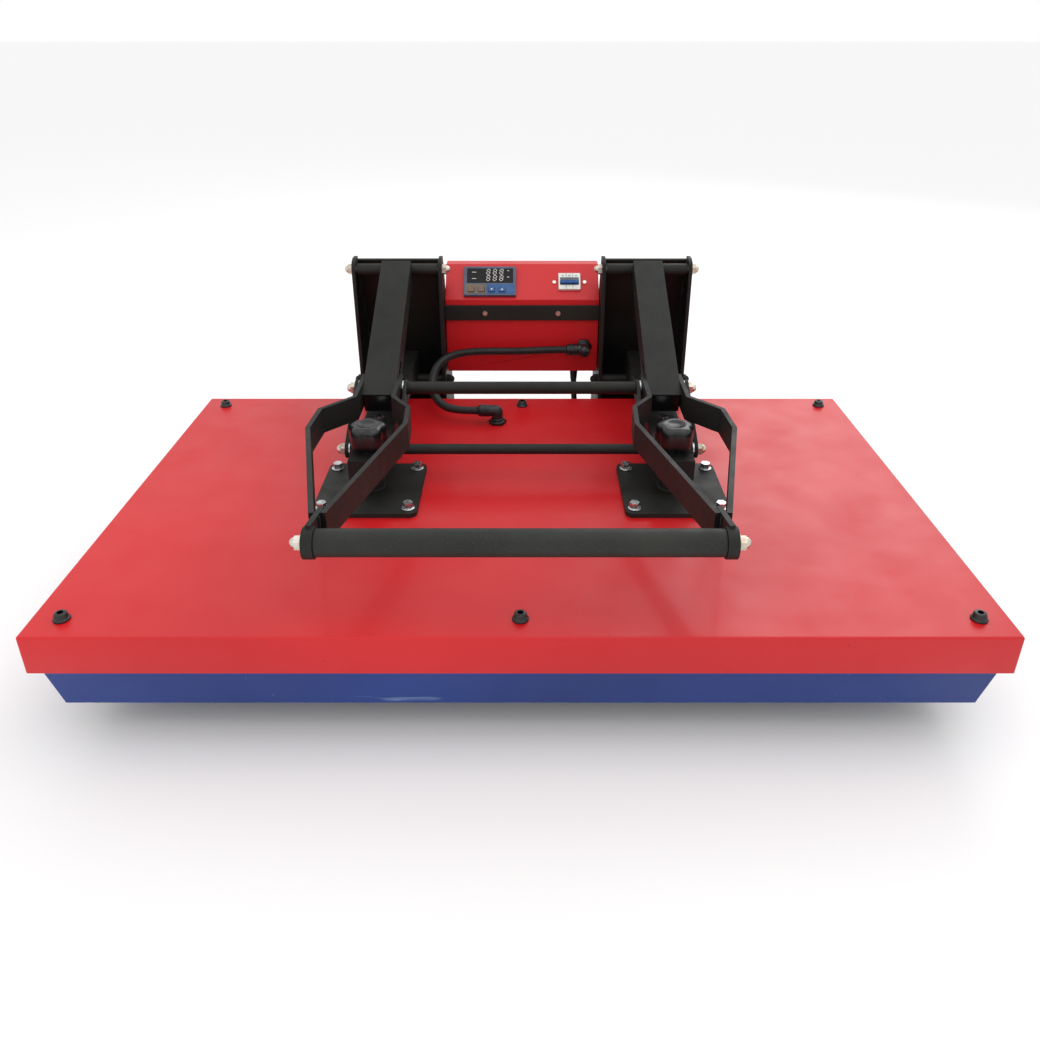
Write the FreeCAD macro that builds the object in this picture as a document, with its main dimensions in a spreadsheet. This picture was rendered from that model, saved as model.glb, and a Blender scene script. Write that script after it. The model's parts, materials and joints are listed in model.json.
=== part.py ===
"""Large-format clamshell heat press, two lever arms, 1000 x 600 mm platen.

Frame: +Z up, +Y towards the back, +X to the right of a person at the handle.  The origin is the
centre of the footprint on the table.  The press is modelled closed and locked.
"""
import FreeCAD, Part
import math
import os
import Sketcher

from FreeCAD import Placement, Rotation, Vector

doc = FreeCAD.newDocument("heat_press")

# ---------------------------------------------------------------- driving dimensions (mm)
sheet = doc.addObject("Spreadsheet::Sheet", "dims")
DIMENSIONS = {
    # platen, its cover and the bed under it
    "platen_wide": 1000, "platen_deep": 600, "platen_mid_y": -95, "plate_thick": 18,
    "cover_wide": 1030, "cover_deep": 628, "cover_top": 150, "cover_skirt": 46, "cover_sheet": 1.5,
    "bed_wide": 1009, "bed_deep": 606, "bed_top": 97, "bed_base": 46, "bed_taper": 9, "bed_sheet": 2,
    "pad_thick": 6, "pad_gap": 0.5, "wool_thick": 16, "heater_radius": 4, "heater_pitch": 60,
    "cap_radius": 9, "cap_height": 9, "cap_x": 481, "cap_y": 283,
    # base frame
    "rail_x": 199, "rail_wide": 40, "rail_tall": 30, "rail_front": -340, "rail_rear": 409,
    "foot_tall": 16, "foot_radius": 20, "rail_wall": 2.5,
    # towers
    "arm_x": 199, "tower_half": 71.5, "tower_sheet": 6, "tower_top": 372, "tower_front": 249,
    "tower_top_rear": 282, "tower_base_rear": 405, "tower_nose": 14,
    # the four pivots of the linkage
    "top_pivot_y": 262, "top_pivot_z": 355, "link_pivot_y": 36, "link_pivot_z": 243,
    "low_pivot_y": -64, "low_pivot_z": 195, "hinge_y": 268, "hinge_z": 165,
    "pin_radius": 6, "pin_play": 0.05, "sleeve_radius": 9,
    "nut_radius": 8.5, "nut_tall": 6.5, "dome_radius": 6.2,
    # upper arms and fork handle
    "arm_wide": 46, "arm_deep": 36, "arm_wall": 3, "arm_nose": 29, "arm_slot": 44, "slot_half": 8.6,
    "tine_thick": 6, "tine_tall": 34, "fork_mid_z": 241, "fork_rear_y": 58, "eye_x": 214,
    "inner_flare_x": 149, "outer_flare_x": 263, "flare_start_y": -31, "flare_end_y": -65,
    "flare_front_y": -118, "bar_y": -368, "bar_z": 238, "bar_radius": 14.8, "rod_radius": 6,
    # links between the upper and lower arms
    "link_x": 34.5, "link_thick": 5, "link_half": 12, "washer_thick": 2, "washer_radius": 11,
    "upper_tube_radius": 9, "lower_tube_radius": 7,
    # lower arms, pressure screws and base plates
    "beam_wide": 46, "beam_tall": 28, "beam_wall": 4, "beam_front": -128, "beam_rear": 286,
    "boss_long": 6.7, "boss_radius": 11,
    "screw_y": -95, "screw_radius": 8, "knob_radius": 26, "knob_tall": 34, "knob_base": 212.5,
    "mount_wide": 134, "mount_deep": 140, "mount_thick": 6, "mount_y": -100, "mount_bolt": 55,
    "socket_radius": 17, "socket_tall": 20,
    "bolt_radius": 6.5, "bolt_head": 8.5, "bolt_shank": 14, "stop_bolt_y": -4,
    # control box
    "box_half": 126.5, "box_front": 279, "box_base": 175, "box_fold": 300, "box_rear": 350,
    "box_top": 347, "box_top_y": 327, "box_sheet": 1.5, "strap_base": 266, "strap_tall": 25,
    "strap_thick": 5, "case_x": -53, "case_wide": 86, "case_tall": 54, "breaker_x": 78,
    "breaker_wide": 36, "breaker_tall": 30,
    # conduit and mains cord
    "elbow_x": 103, "elbow_z": 220, "elbow_long": 30, "conduit_radius": 6.5, "cord_radius": 5, "cord_x": 90, "cord_y": 322,
    "coil_x": 38, "coil_y": 456, "coil_inner": 44.5, "coil_outer": 65.5, "coil_tall": 21,
}
for line, (alias, value) in enumerate(DIMENSIONS.items(), start=1):
    sheet.set(f"A{line}", alias)
    sheet.set(f"B{line}", str(value))
    sheet.setAlias(f"B{line}", alias)
doc.recompute()

nodes = []


def size(alias):
    """The value of one cell, for the pieces whose shape is set in code."""
    return float(getattr(sheet, alias))


def expand(text):
    """Turn the words of an expression that name a cell into references to the sheet."""
    words = sorted(DIMENSIONS, key=len, reverse=True)
    out = ""
    i = 0
    while i < len(text):
        hit = next((w for w in words if text.startswith(w, i)), None)
        inside_word = i > 0 and (text[i - 1].isalnum() or text[i - 1] == "_")
        if hit and not inside_word:
            out += "dims." + hit
            i += len(hit)
        else:
            out += text[i]
            i += 1
    return out


def bind(thing, prop, expression):
    thing.setExpression(prop, expand(str(expression)))


def place(thing, at, axis=(0, 0, 1), angle="0"):
    """Bind an object's position, and its turn about an axis, to expressions."""
    thing.Placement = Placement(Vector(0, 0, 0), Rotation(Vector(*axis), 1))
    for prop, expression in zip(("x", "y", "z"), at):
        bind(thing, f"Placement.Base.{prop}", expression)
    bind(thing, "Placement.Rotation.Angle", angle)
    return thing


def box(at, lengths, axis=(0, 0, 1), angle="0"):
    """A block whose lowest corner is at the given place."""
    thing = doc.addObject("Part::Box", "block")
    for prop, expression in zip(("Length", "Width", "Height"), lengths):
        bind(thing, prop, expression)
    return place(thing, at, axis, angle)


AXES = {"z": ((0, 0, 1), "0"), "x": ((0, 1, 0), "90"), "y": ((1, 0, 0), "-90")}


def rod(at, radius, length, along="z"):
    """A cylinder that starts at the given place and runs along +X, +Y or +Z."""
    thing = doc.addObject("Part::Cylinder", "rod")
    bind(thing, "Radius", radius)
    bind(thing, "Height", length)
    axis, angle = AXES[along]
    return place(thing, at, axis, angle)


def ball(at, radius):
    thing = doc.addObject("Part::Sphere", "ball")
    bind(thing, "Radius", radius)
    return place(thing, at)


def cone(at, low, high, length):
    thing = doc.addObject("Part::Cone", "cone")
    bind(thing, "Radius1", low)
    bind(thing, "Radius2", high)
    bind(thing, "Height", length)
    return place(thing, at)


def hexagon(at, radius, length, along="z"):
    thing = doc.addObject("Part::Prism", "hexagon")
    thing.Polygon = 6
    bind(thing, "Circumradius", radius)
    bind(thing, "Height", length)
    axis, angle = AXES[along]
    return place(thing, at, axis, angle)


def fuse(*parts):
    """One solid from several; a lone part is only wrapped, so that it can be placed again."""
    if len(parts) == 1:
        return group(*parts)
    thing = doc.addObject("Part::MultiFuse", "fused")
    thing.Shapes = list(parts)
    thing.Refine = True
    return thing


def cut(base, *tools):
    thing = doc.addObject("Part::Cut", "cut")
    thing.Base = base
    thing.Tool = tools[0] if len(tools) == 1 else fuse(*tools)
    return thing


def group(*parts):
    """Several separate solids that share one node."""
    thing = doc.addObject("Part::Compound", "group")
    thing.Links = list(parts)
    return thing


def keep(label, thing):
    thing.Label = label
    nodes.append(thing)
    return thing


def outline(name, plane, points, thickness, offset="0"):
    """A PartDesign body padded both ways from a polygon whose corners are bound to the sheet."""
    body = doc.addObject("PartDesign::Body", name)
    sketch = body.newObject("Sketcher::SketchObject", name + "_sketch")
    base = next(f for f in body.Origin.OriginFeatures if f.Role == plane)
    sketch.AttachmentSupport = [(base, "")]
    sketch.MapMode = "FlatFace"
    count = len(points)
    start = [Vector(37 * math.cos(-2 * math.pi * i / count), 37 * math.sin(-2 * math.pi * i / count), 0)
             for i in range(count)]
    for i in range(count):
        sketch.addGeometry(Part.LineSegment(start[i], start[(i + 1) % count]), False)
    for i in range(count):
        sketch.addConstraint(Sketcher.Constraint("Coincident", i, 2, (i + 1) % count, 1))
    for i, (across, up) in enumerate(points):
        for kind, expression in (("DistanceX", across), ("DistanceY", up)):
            n = sketch.addConstraint(Sketcher.Constraint(kind, -1, 1, i, 1, 1.0))
            bind(sketch, f"Constraints[{n}]", expression)
    pad = body.newObject("PartDesign::Pad", name + "_pad")
    pad.Profile = sketch
    bind(pad, "Length", thickness)
    pad.Midplane = True
    bind(body, "Placement.Base.x" if plane == "YZ_Plane" else "Placement.Base.z", offset)
    doc.recompute()
    return body


def mirrored(maker):
    """Make the same piece on the left (-1) and on the right (1)."""
    return [maker(side, word) for side, word in ((-1, "left"), (1, "right"))]


# ---------------------------------------------------------------- base frame, bed and pad
def base_rail(side, word):
    at_x = f"{side} * rail_x - rail_wide / 2"
    tube = box((at_x, "rail_front", "foot_tall"), ("rail_wide", "rail_rear - rail_front", "rail_tall"))
    hollow = box((f"{at_x} + rail_wall", "rail_front + rail_wall", "foot_tall + rail_wall"),
                 ("rail_wide - 2 * rail_wall", "rail_rear - rail_front - 2 * rail_wall",
                  "rail_tall - 2 * rail_wall"))
    return cut(tube, hollow)


def cross_rail(y):
    inner = "rail_x - rail_wide / 2"
    bar = box((f"-({inner})", y, "foot_tall"), (f"2 * ({inner})", "rail_wide", "rail_tall"))
    bore = box((f"-({inner})", f"{y} + rail_wall", "foot_tall + rail_wall"),
               (f"2 * ({inner})", "rail_wide - 2 * rail_wall", "rail_tall - 2 * rail_wall"))
    return cut(bar, bore)


keep("base_frame", group(*mirrored(base_rail), cross_rail("rail_front + 20"), cross_rail("rail_rear - 60")))


def rubber_foot(x, y):
    return cone((x, y, "0"), "foot_radius - 3", "foot_radius", "foot_tall")


foot_places = [(f"{side} * rail_x", y) for side in (-1, 1)
               for y in ("rail_front + 40", "platen_mid_y + 120", "rail_rear - 40")]
keep("rubber_feet", group(*[rubber_foot(x, y) for x, y in foot_places]))


def tapered_block(inset, bottom, top, grow):
    """Four flared sides: a wedge whose plan is larger at the top."""
    wedge = doc.addObject("Part::Wedge", "flared_block")
    half_x = f"(bed_wide / 2 - {inset})"
    half_y = f"(bed_deep / 2 - {inset})"
    for prop, expression in (("Xmin", f"-{half_x} + bed_taper"), ("Xmax", f"{half_x} - bed_taper"),
                             ("X2min", f"-{half_x} - {grow}"), ("X2max", f"{half_x} + {grow}"),
                             ("Zmin", f"-{half_y} + bed_taper"), ("Zmax", f"{half_y} - bed_taper"),
                             ("Z2min", f"-{half_y} - {grow}"), ("Z2max", f"{half_y} + {grow}"),
                             ("Ymin", bottom), ("Ymax", top)):
        bind(wedge, prop, expression)
    return place(wedge, ("0", "platen_mid_y", "0"), (1, 0, 0), "90")


bed_outer = tapered_block("0", "bed_base", "bed_top", "0")
bed_inner = tapered_block("bed_sheet", "bed_base - 1", "bed_top - bed_sheet", "0")
keep("bed_tray", cut(bed_outer, bed_inner))


def bed_rib(y):
    """A channel across the inside of the tray, resting on the base rails."""
    wide = "bed_wide - 2 * bed_taper - 2 * bed_sheet - 4"
    outer = box((f"-({wide}) / 2", f"platen_mid_y + {y} - 15", "bed_base"),
                (wide, "30", "bed_top - bed_sheet - bed_base"))
    inner = box((f"-({wide}) / 2", f"platen_mid_y + {y} - 13", "bed_base - 1"),
                (wide, "26", "bed_top - bed_sheet - bed_base - 1"))
    return cut(outer, inner)


keep("bed_ribs", group(*[bed_rib(y) for y in ("-200", "0", "200")]))
keep("silicone_pad", box(("-platen_wide / 2", "platen_mid_y - platen_deep / 2", "bed_top"),
                         ("platen_wide", "platen_deep", "pad_thick")))


# ---------------------------------------------------------------- towers
TOWER_BASE = "(foot_tall + rail_tall + tower_sheet)"


def tower_plate(name, x):
    corners = [("tower_front", TOWER_BASE), ("tower_front", "tower_top - tower_nose"),
               ("tower_front + tower_nose / 3", "tower_top - tower_nose / 3"),
               ("tower_front + tower_nose", "tower_top"), ("tower_top_rear", "tower_top"),
               ("tower_base_rear", TOWER_BASE)]
    plate = outline(name, "YZ_Plane", corners, "tower_sheet", x)
    top_hole = rod((f"{x} - tower_sheet", "top_pivot_y", "top_pivot_z"), "pin_radius",
                   "2 * tower_sheet", "x")
    low_hole = rod((f"{x} - tower_sheet", "hinge_y", "hinge_z"), "pin_radius", "2 * tower_sheet", "x")
    return cut(plate, top_hole, low_hole)


side_plates = []
tower_feet = []


def tower(side, word):
    inner = f"{side} * arm_x - (tower_half - tower_sheet / 2)"
    outer = f"{side} * arm_x + (tower_half - tower_sheet / 2)"
    for plate_name, plate_x in (("a", inner), ("b", outer)):
        side_plates.append(tower_plate(f"plate_{plate_name}_{word}", plate_x))
    lean = f"atan((tower_base_rear - tower_top_rear) / (tower_top - {TOWER_BASE}))"
    long = f"(tower_top - {TOWER_BASE} - 6) / cos({lean})"
    back = box((f"{side} * arm_x - tower_half + tower_sheet + 0.2", "tower_base_rear - 6", TOWER_BASE),
               ("2 * (tower_half - tower_sheet) - 0.4", "5", long), (1, 0, 0), lean)
    foot = box((f"{side} * arm_x - tower_half", "tower_front", "foot_tall + rail_tall"),
               ("2 * tower_half", "tower_base_rear - tower_front", "tower_sheet"))
    tower_feet.append(foot)
    clearance = box((f"{side} * arm_x - tower_half", "tower_front - 20", "foot_tall"),
                    ("2 * tower_half", "200", "rail_tall + tower_sheet"))
    return cut(back, clearance)


keep("tower_backs", group(*mirrored(tower)))
keep("tower_foot_plates", group(*tower_feet))
keep("tower_side_plates", group(*side_plates))


def dome_nut(x, y, z, way):
    """A hexagon nut with a domed end; way is 1 when the dome points along +X, else -1."""
    first = x if way > 0 else f"{x} - nut_tall"
    dome_at = f"{x} + {way} * nut_tall"
    return fuse(hexagon((first, y, z), "nut_radius", "nut_tall", "x"), ball((dome_at, y, z), "dome_radius"))


def tower_bolt(side, y, z):
    """A bolt through both plates of one tower, with a dome nut outside each plate."""
    left = f"{side} * arm_x - tower_half"
    shaft = rod((left, y, z), "pin_radius - pin_play", "2 * tower_half", "x")
    return fuse(shaft, dome_nut(left, y, z, -1), dome_nut(f"{side} * arm_x + tower_half", y, z, 1))


keep("upper_pivot_bolts", group(*[tower_bolt(s, "top_pivot_y", "top_pivot_z") for s in (-1, 1)]))
keep("hinge_bolts", group(*[tower_bolt(s, "hinge_y", "hinge_z") for s in (-1, 1)]))


# ---------------------------------------------------------------- upper arms and fork handle
ARM_SLOPE = "atan((top_pivot_z - link_pivot_z) / (top_pivot_y - link_pivot_y))"
ARM_SPAN = ("sqrt((top_pivot_z - link_pivot_z) * (top_pivot_z - link_pivot_z)"
            " + (top_pivot_y - link_pivot_y) * (top_pivot_y - link_pivot_y))")


def sloped(thing, x):
    """Lay an arm-frame shape (upper pivot at its origin, arm along -Y) on the arm's line."""
    return place(thing, (x, "top_pivot_y", "top_pivot_z"), (1, 0, 0), ARM_SLOPE)


def slot_tool(half_wide):
    """The play slot for the link shaft: it runs back along the arm from the shaft at rest."""
    low = "-2.2 - slot_half"
    body = box((f"-{half_wide}", f"-({ARM_SPAN})", low), (f"2 * {half_wide}", "arm_slot", "2 * slot_half"))
    ends = [rod((f"-{half_wide}", y, "-2.2"), "slot_half", f"2 * {half_wide}", "x")
            for y in (f"-({ARM_SPAN})", f"-({ARM_SPAN}) + arm_slot")]
    return fuse(body, *ends)


upper_arms = []


def upper_arm(side, word):
    long = f"({ARM_SPAN}) + arm_nose"
    tube = box(("-arm_wide / 2", f"-({long})", "-arm_deep / 2"), ("arm_wide", long, "arm_deep"))
    bore = box(("-arm_wide / 2 + arm_wall", f"-({long}) - 1", "-arm_deep / 2 + arm_wall"),
               ("arm_wide - 2 * arm_wall", f"{long} + 2", "arm_deep - 2 * arm_wall"))
    sleeve_seat = rod(("-arm_wide", "0", "0"), "sleeve_radius", "2 * arm_wide", "x")
    arm = cut(tube, bore, sleeve_seat, slot_tool("arm_wide"))
    upper_arms.append(sloped(arm, f"{side} * arm_x"))
    cap = box(("-arm_wide / 2 + arm_wall + 0.1", f"-({long})", "-arm_deep / 2 + arm_wall + 0.1"),
              ("arm_wide - 2 * arm_wall - 0.2", "3", "arm_deep - 2 * arm_wall - 0.2"))
    return sloped(fuse(cap), f"{side} * arm_x")


keep("arm_end_caps", group(*mirrored(upper_arm)))
keep("upper_arms", group(*upper_arms))


def arm_sleeve(side):
    half = "(tower_half - tower_sheet - 1)"
    outer = rod((f"{side} * arm_x - {half}", "top_pivot_y", "top_pivot_z"), "sleeve_radius",
                f"2 * {half}", "x")
    bore = rod((f"{side} * arm_x - {half} - 1", "top_pivot_y", "top_pivot_z"), "pin_radius",
               f"2 * {half} + 2", "x")
    return cut(outer, bore)


keep("arm_sleeves", group(*[arm_sleeve(side) for side in (-1, 1)]))


def bent_bar(points):
    """A flat bar on edge that follows a plan route, with a rounded bend at each point."""
    pieces = []
    for (x1, y1), (x2, y2) in zip(points, points[1:]):
        run = f"sqrt(({x2} - ({x1})) * ({x2} - ({x1})) + ({y2} - ({y1})) * ({y2} - ({y1})))"
        turn = f"atan2({y2} - ({y1}); {x2} - ({x1}))"
        pieces.append(box((f"{x1} + tine_thick / 2 * sin({turn})", f"{y1} - tine_thick / 2 * cos({turn})",
                           "fork_mid_z - tine_tall / 2"), (run, "tine_thick", "tine_tall"), (0, 0, 1), turn))
    for x, y in points[1:-1]:
        pieces.append(rod((x, y, "fork_mid_z - tine_tall / 2"), "tine_thick / 2", "tine_tall"))
    return fuse(*pieces)


tines = []


def fork(side, word):
    def across(offset):
        return f"{side} * ({offset})"

    near = "arm_x - arm_wide / 2 - tine_thick / 2"
    far = "arm_x + arm_wide / 2 + tine_thick / 2"
    inner = [(across(near), "fork_rear_y"), (across(near), "flare_start_y"),
             (across("inner_flare_x"), "flare_end_y"), (across("inner_flare_x - 3"), "flare_front_y"),
             (across("eye_x - 10"), "bar_y + 26")]
    outer = [(across(far), "fork_rear_y"), (across(far), "flare_start_y"),
             (across("outer_flare_x"), "flare_end_y - 8"), (across("outer_flare_x + 3"), "flare_front_y - 14"),
             (across("eye_x + 2.1"), "bar_y + 26")]
    window = sloped(slot_tool("arm_wide"), across("arm_x"))
    tines.extend(cut(bent_bar(route), window) for route in (inner, outer))
    web = bent_bar([(across("eye_x"), "bar_y"), (across("eye_x - 6"), "bar_y + 40")])
    eye = rod((f"{side} * eye_x - 6", "bar_y", "bar_z"), "17", "12", "x")
    hole = rod((f"{side} * eye_x - 20", "bar_y", "bar_z"), "rod_radius", "40", "x")
    return cut(fuse(web, eye), hole)


keep("handle_eyes", group(*mirrored(fork)))
keep("fork_tines", group(*tines))
ROD_HALF = "(eye_x + 8)"


def handle_rod():
    return rod((f"-{ROD_HALF}", "bar_y", "bar_z"), "rod_radius - pin_play", f"2 * {ROD_HALF}", "x")


def handle_nut(side):
    seat = rod((f"{side} * (eye_x + 7) - 1", "bar_y", "bar_z"), "11", "2", "x")
    nut = dome_nut(f"{side} * {ROD_HALF}", "bar_y", "bar_z", side)
    return cut(fuse(seat, nut), handle_rod())


keep("handle_rod", handle_rod())
keep("handle_nuts", group(*[handle_nut(side) for side in (-1, 1)]))
grip_half = "(eye_x - 6.5)"
grip = rod((f"-{grip_half}", "bar_y", "bar_z"), "bar_radius", f"2 * {grip_half}", "x")
grip_bore = rod((f"-{grip_half} - 1", "bar_y", "bar_z"), "rod_radius", f"2 * {grip_half} + 2", "x")
keep("handle_grip", cut(grip, grip_bore))


# ---------------------------------------------------------------- links between the arms
LINK_SLOPE = "atan((link_pivot_z - low_pivot_z) / (link_pivot_y - low_pivot_y))"
LINK_SPAN = ("sqrt((link_pivot_z - low_pivot_z) * (link_pivot_z - low_pivot_z)"
             " + (link_pivot_y - low_pivot_y) * (link_pivot_y - low_pivot_y))")


def link_plate(x):
    """A stadium-shaped plate from the lower pivot to the link pivot, with a hole at each end."""
    left = "-link_thick / 2"
    body = fuse(box((left, "0", "-link_half"), ("link_thick", LINK_SPAN, "2 * link_half")),
                rod((left, "0", "0"), "link_half", "link_thick", "x"),
                rod((left, LINK_SPAN, "0"), "link_half", "link_thick", "x"))
    holes = [rod((f"{left} - 1", y, "0"), "pin_radius", "link_thick + 2", "x") for y in ("0", LINK_SPAN)]
    plate = cut(body, *holes)
    return place(plate, (x, "low_pivot_y", "low_pivot_z"), (1, 0, 0), LINK_SLOPE)


keep("link_plates", group(*[link_plate(f"{side} * arm_x {where} link_x")
                            for side in (-1, 1) for where in "-+"]))


def cross_tube(label, y, z, radius):
    half = "(arm_x - link_x - link_thick / 2)"
    outer = rod((f"-{half}", y, z), radius, f"2 * {half}", "x")
    bore = rod((f"-{half} - 1", y, z), "pin_radius", f"2 * {half} + 2", "x")
    keep(label, cut(outer, bore))


cross_tube("upper_cross_tube", "link_pivot_y", "link_pivot_z", "upper_tube_radius")
cross_tube("lower_cross_tube", "low_pivot_y", "low_pivot_z", "lower_tube_radius")
SHAFT_END = "(arm_x + link_x + link_thick / 2 + 2)"
PIVOTS = (("link_pivot_y", "link_pivot_z"), ("low_pivot_y", "low_pivot_z"))


def link_shaft(y, z):
    return rod((f"-{SHAFT_END}", y, z), "pin_radius - pin_play", f"2 * {SHAFT_END}", "x")


keep("link_shafts", group(*[link_shaft(y, z) for y, z in PIVOTS]))


def link_nut(side, y, z):
    face = f"{side} * (arm_x + link_x + link_thick / 2)"
    nut = dome_nut(face, y, z, side)
    bore = rod((f"-{SHAFT_END}", y, z), "pin_radius - pin_play", f"2 * {SHAFT_END}", "x")
    return cut(nut, bore)


keep("link_nuts", group(*[link_nut(side, y, z) for side in (-1, 1) for y, z in PIVOTS]))


def washer(x, y, z):
    disc = rod((x, y, z), "washer_radius", "washer_thick", "x")
    bore = rod((f"{x} - 1", y, z), "pin_radius", "washer_thick + 2", "x")
    return cut(disc, bore)


inner_faces = [f"{side} * arm_x - link_x + link_thick / 2 + 0.02" for side in (-1, 1)]
outer_faces = [f"{side} * arm_x + link_x - link_thick / 2 - washer_thick - 0.02" for side in (-1, 1)]
keep("link_washers", group(*[washer(x, y, z) for x in inner_faces + outer_faces for y, z in PIVOTS]))


# ---------------------------------------------------------------- lower arms
beams = []


def lower_arm(side, word):
    """A flat box-section beam over the cover, with a leg down to the rear hinge."""
    low = "low_pivot_z - beam_tall / 2"
    at_x = f"{side} * arm_x - beam_wide / 2"
    long = "beam_rear - beam_front"
    beam = fuse(box((at_x, "beam_front", low), ("beam_wide", long, "beam_tall")),
                rod((f"{at_x} - boss_long", "low_pivot_y", "low_pivot_z"), "boss_radius",
                    "beam_wide + 2 * boss_long", "x"))
    bore = box((f"{at_x} + beam_wall", "beam_front + 60", f"{low} + beam_wall"),
               ("beam_wide - 2 * beam_wall", f"{long} - 64", "beam_tall - 2 * beam_wall"))
    pin_hole = rod((f"{at_x} - 10", "low_pivot_y", "low_pivot_z"), "pin_radius", "beam_wide + 20", "x")
    screw_hole = rod((f"{side} * arm_x", "screw_y", f"{low} - 1"), "screw_radius + pin_play", "beam_tall + 2")
    beams.append(cut(beam, bore, pin_hole, screw_hole))
    cheeks = []
    for edge in (f"{at_x} + 3", f"{at_x} + beam_wide - 3"):
        corners = [("hinge_y - 62", low), ("beam_rear", low), ("hinge_y + 14", "hinge_z - 4"),
                   ("hinge_y + 8", "hinge_z - 14"), ("hinge_y - 8", "hinge_z - 14")]
        cheek = outline(f"leg_{word}", "YZ_Plane", corners, "6", edge)
        cheeks.append(cut(cheek, rod((f"{edge} - 5", "hinge_y", "hinge_z"), "sleeve_radius", "10", "x")))
    return cheeks


hinge_cheeks = mirrored(lower_arm)
keep("lower_arms", group(*beams))


def hinge_sleeve(side):
    half = "(tower_half - tower_sheet - 1)"
    outer = rod((f"{side} * arm_x - {half}", "hinge_y", "hinge_z"), "sleeve_radius", f"2 * {half}", "x")
    bore = rod((f"{side} * arm_x - {half} - 1", "hinge_y", "hinge_z"), "pin_radius", f"2 * {half} + 2", "x")
    return cut(outer, bore)


keep("hinge_legs", group(*[fuse(hinge_sleeve(side), *cheeks)
                           for side, cheeks in zip((-1, 1), hinge_cheeks)]))


def hex_bolt(x, y, z):
    return fuse(hexagon((x, y, z), "bolt_radius", "bolt_head"),
                rod((x, y, f"{z} - bolt_shank"), "4", "bolt_shank + 1"))


BEAM_TOP = "(low_pivot_z + beam_tall / 2)"


stop_bolts = [hexagon((f"{side} * arm_x", "stop_bolt_y", BEAM_TOP), "bolt_radius", "8") for side in (-1, 1)]


# ---------------------------------------------------------------- pressure screws and base plates
def base_plate(side, word):
    at_x = f"{side} * arm_x - mount_wide / 2"
    r = "10"
    plate = fuse(box((f"{at_x} + {r}", "mount_y - mount_deep / 2", "cover_top"),
                     (f"mount_wide - 2 * {r}", "mount_deep", "mount_thick")),
                 box((at_x, f"mount_y - mount_deep / 2 + {r}", "cover_top"),
                     ("mount_wide", f"mount_deep - 2 * {r}", "mount_thick")),
                 *[rod((f"{side} * arm_x + {i} * (mount_wide / 2 - {r})",
                        f"mount_y + {j} * (mount_deep / 2 - {r})", "cover_top"), r, "mount_thick")
                   for i in (-1, 1) for j in (-1, 1)])
    holes = [rod((x, y, "cover_top - 1"), "4.5", "mount_thick + 2") for x, y in mount_bolts(side)]
    return cut(plate, *holes)


def mount_bolts(side):
    return [(f"{side} * arm_x + {i} * mount_bolt", f"mount_y + {j} * mount_bolt")
            for i in (-1, 1) for j in (-1, 1)]


keep("base_plates", group(*mirrored(base_plate)))


def screw_socket(side):
    """A welded collar in which the foot of the pressure screw turns."""
    top_of_plate = "cover_top + mount_thick"
    collar = rod((f"{side} * arm_x", "screw_y", top_of_plate), "socket_radius", "socket_tall")
    bore = rod((f"{side} * arm_x", "screw_y", f"{top_of_plate} + 4"), "screw_radius + pin_play", "socket_tall")
    return cut(collar, bore)


keep("screw_sockets", group(*[screw_socket(side) for side in (-1, 1)]))
plate_bolts = [hex_bolt(x, y, "cover_top + mount_thick") for side in (-1, 1) for x, y in mount_bolts(side)]
keep("hex_bolts", group(*plate_bolts, *stop_bolts))


def pressure_knob(side, word):
    """A five-lobed hand knob on a threaded spindle that bears on the base plate."""
    x = f"{side} * arm_x"
    core = rod((x, "screw_y", "knob_base"), "knob_radius - 7", "knob_tall")
    lobes = []
    for i in range(5):
        angle = math.radians(72 * i + 18)
        reach = "(knob_radius - 9)"
        lobe_x = f"{x} + {reach} * {math.cos(angle):.4f}"
        lobe_y = f"screw_y + {reach} * {math.sin(angle):.4f}"
        lobes.append(rod((lobe_x, lobe_y, "knob_base + 3"), "9", "knob_tall - 6"))
    bore = rod((x, "screw_y", "knob_base - 1"), "screw_radius", "14")
    keep(f"star_knob_{word}", cut(fuse(core, *lobes), bore))
    foot = "cover_top + mount_thick + 4.3"
    spindle = rod((x, "screw_y", foot), "screw_radius", f"knob_base + 12 - ({foot})")
    return keep(f"pressure_screw_{word}", spindle)


mirrored(pressure_knob)

# ---------------------------------------------------------------- cover, heating plate, insulation
SKIRT_BASE = "(cover_top - cover_skirt)"
cover_outer = box(("-cover_wide / 2", "platen_mid_y - cover_deep / 2", SKIRT_BASE),
                  ("cover_wide", "cover_deep", "cover_skirt"))
cover_inner = box(("-cover_wide / 2 + cover_sheet", "platen_mid_y - cover_deep / 2 + cover_sheet",
                   f"{SKIRT_BASE} - 1"),
                  ("cover_wide - 2 * cover_sheet", "cover_deep - 2 * cover_sheet",
                   "cover_skirt + 1 - cover_sheet"))
bolt_holes = [rod((x, y, "cover_top - 5"), "4.5", "10") for side in (-1, 1) for x, y in mount_bolts(side)]
keep("platen_cover", cut(cover_outer, cover_inner, *bolt_holes))

cap_places = [(f"{i} * cap_x", f"platen_mid_y + {j} * cap_y") for i in (-1, 0, 1) for j in (-1, 1)]


def cover_cap(x, y):
    return fuse(cone((x, y, "cover_top"), "cap_radius", "cap_radius - 2", "cap_height - 3"),
                cone((x, y, "cover_top + cap_height - 3"), "cap_radius - 2", "cap_radius - 5", "3"))


keep("cover_caps", group(*[cover_cap(x, y) for x, y in cap_places]))

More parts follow.
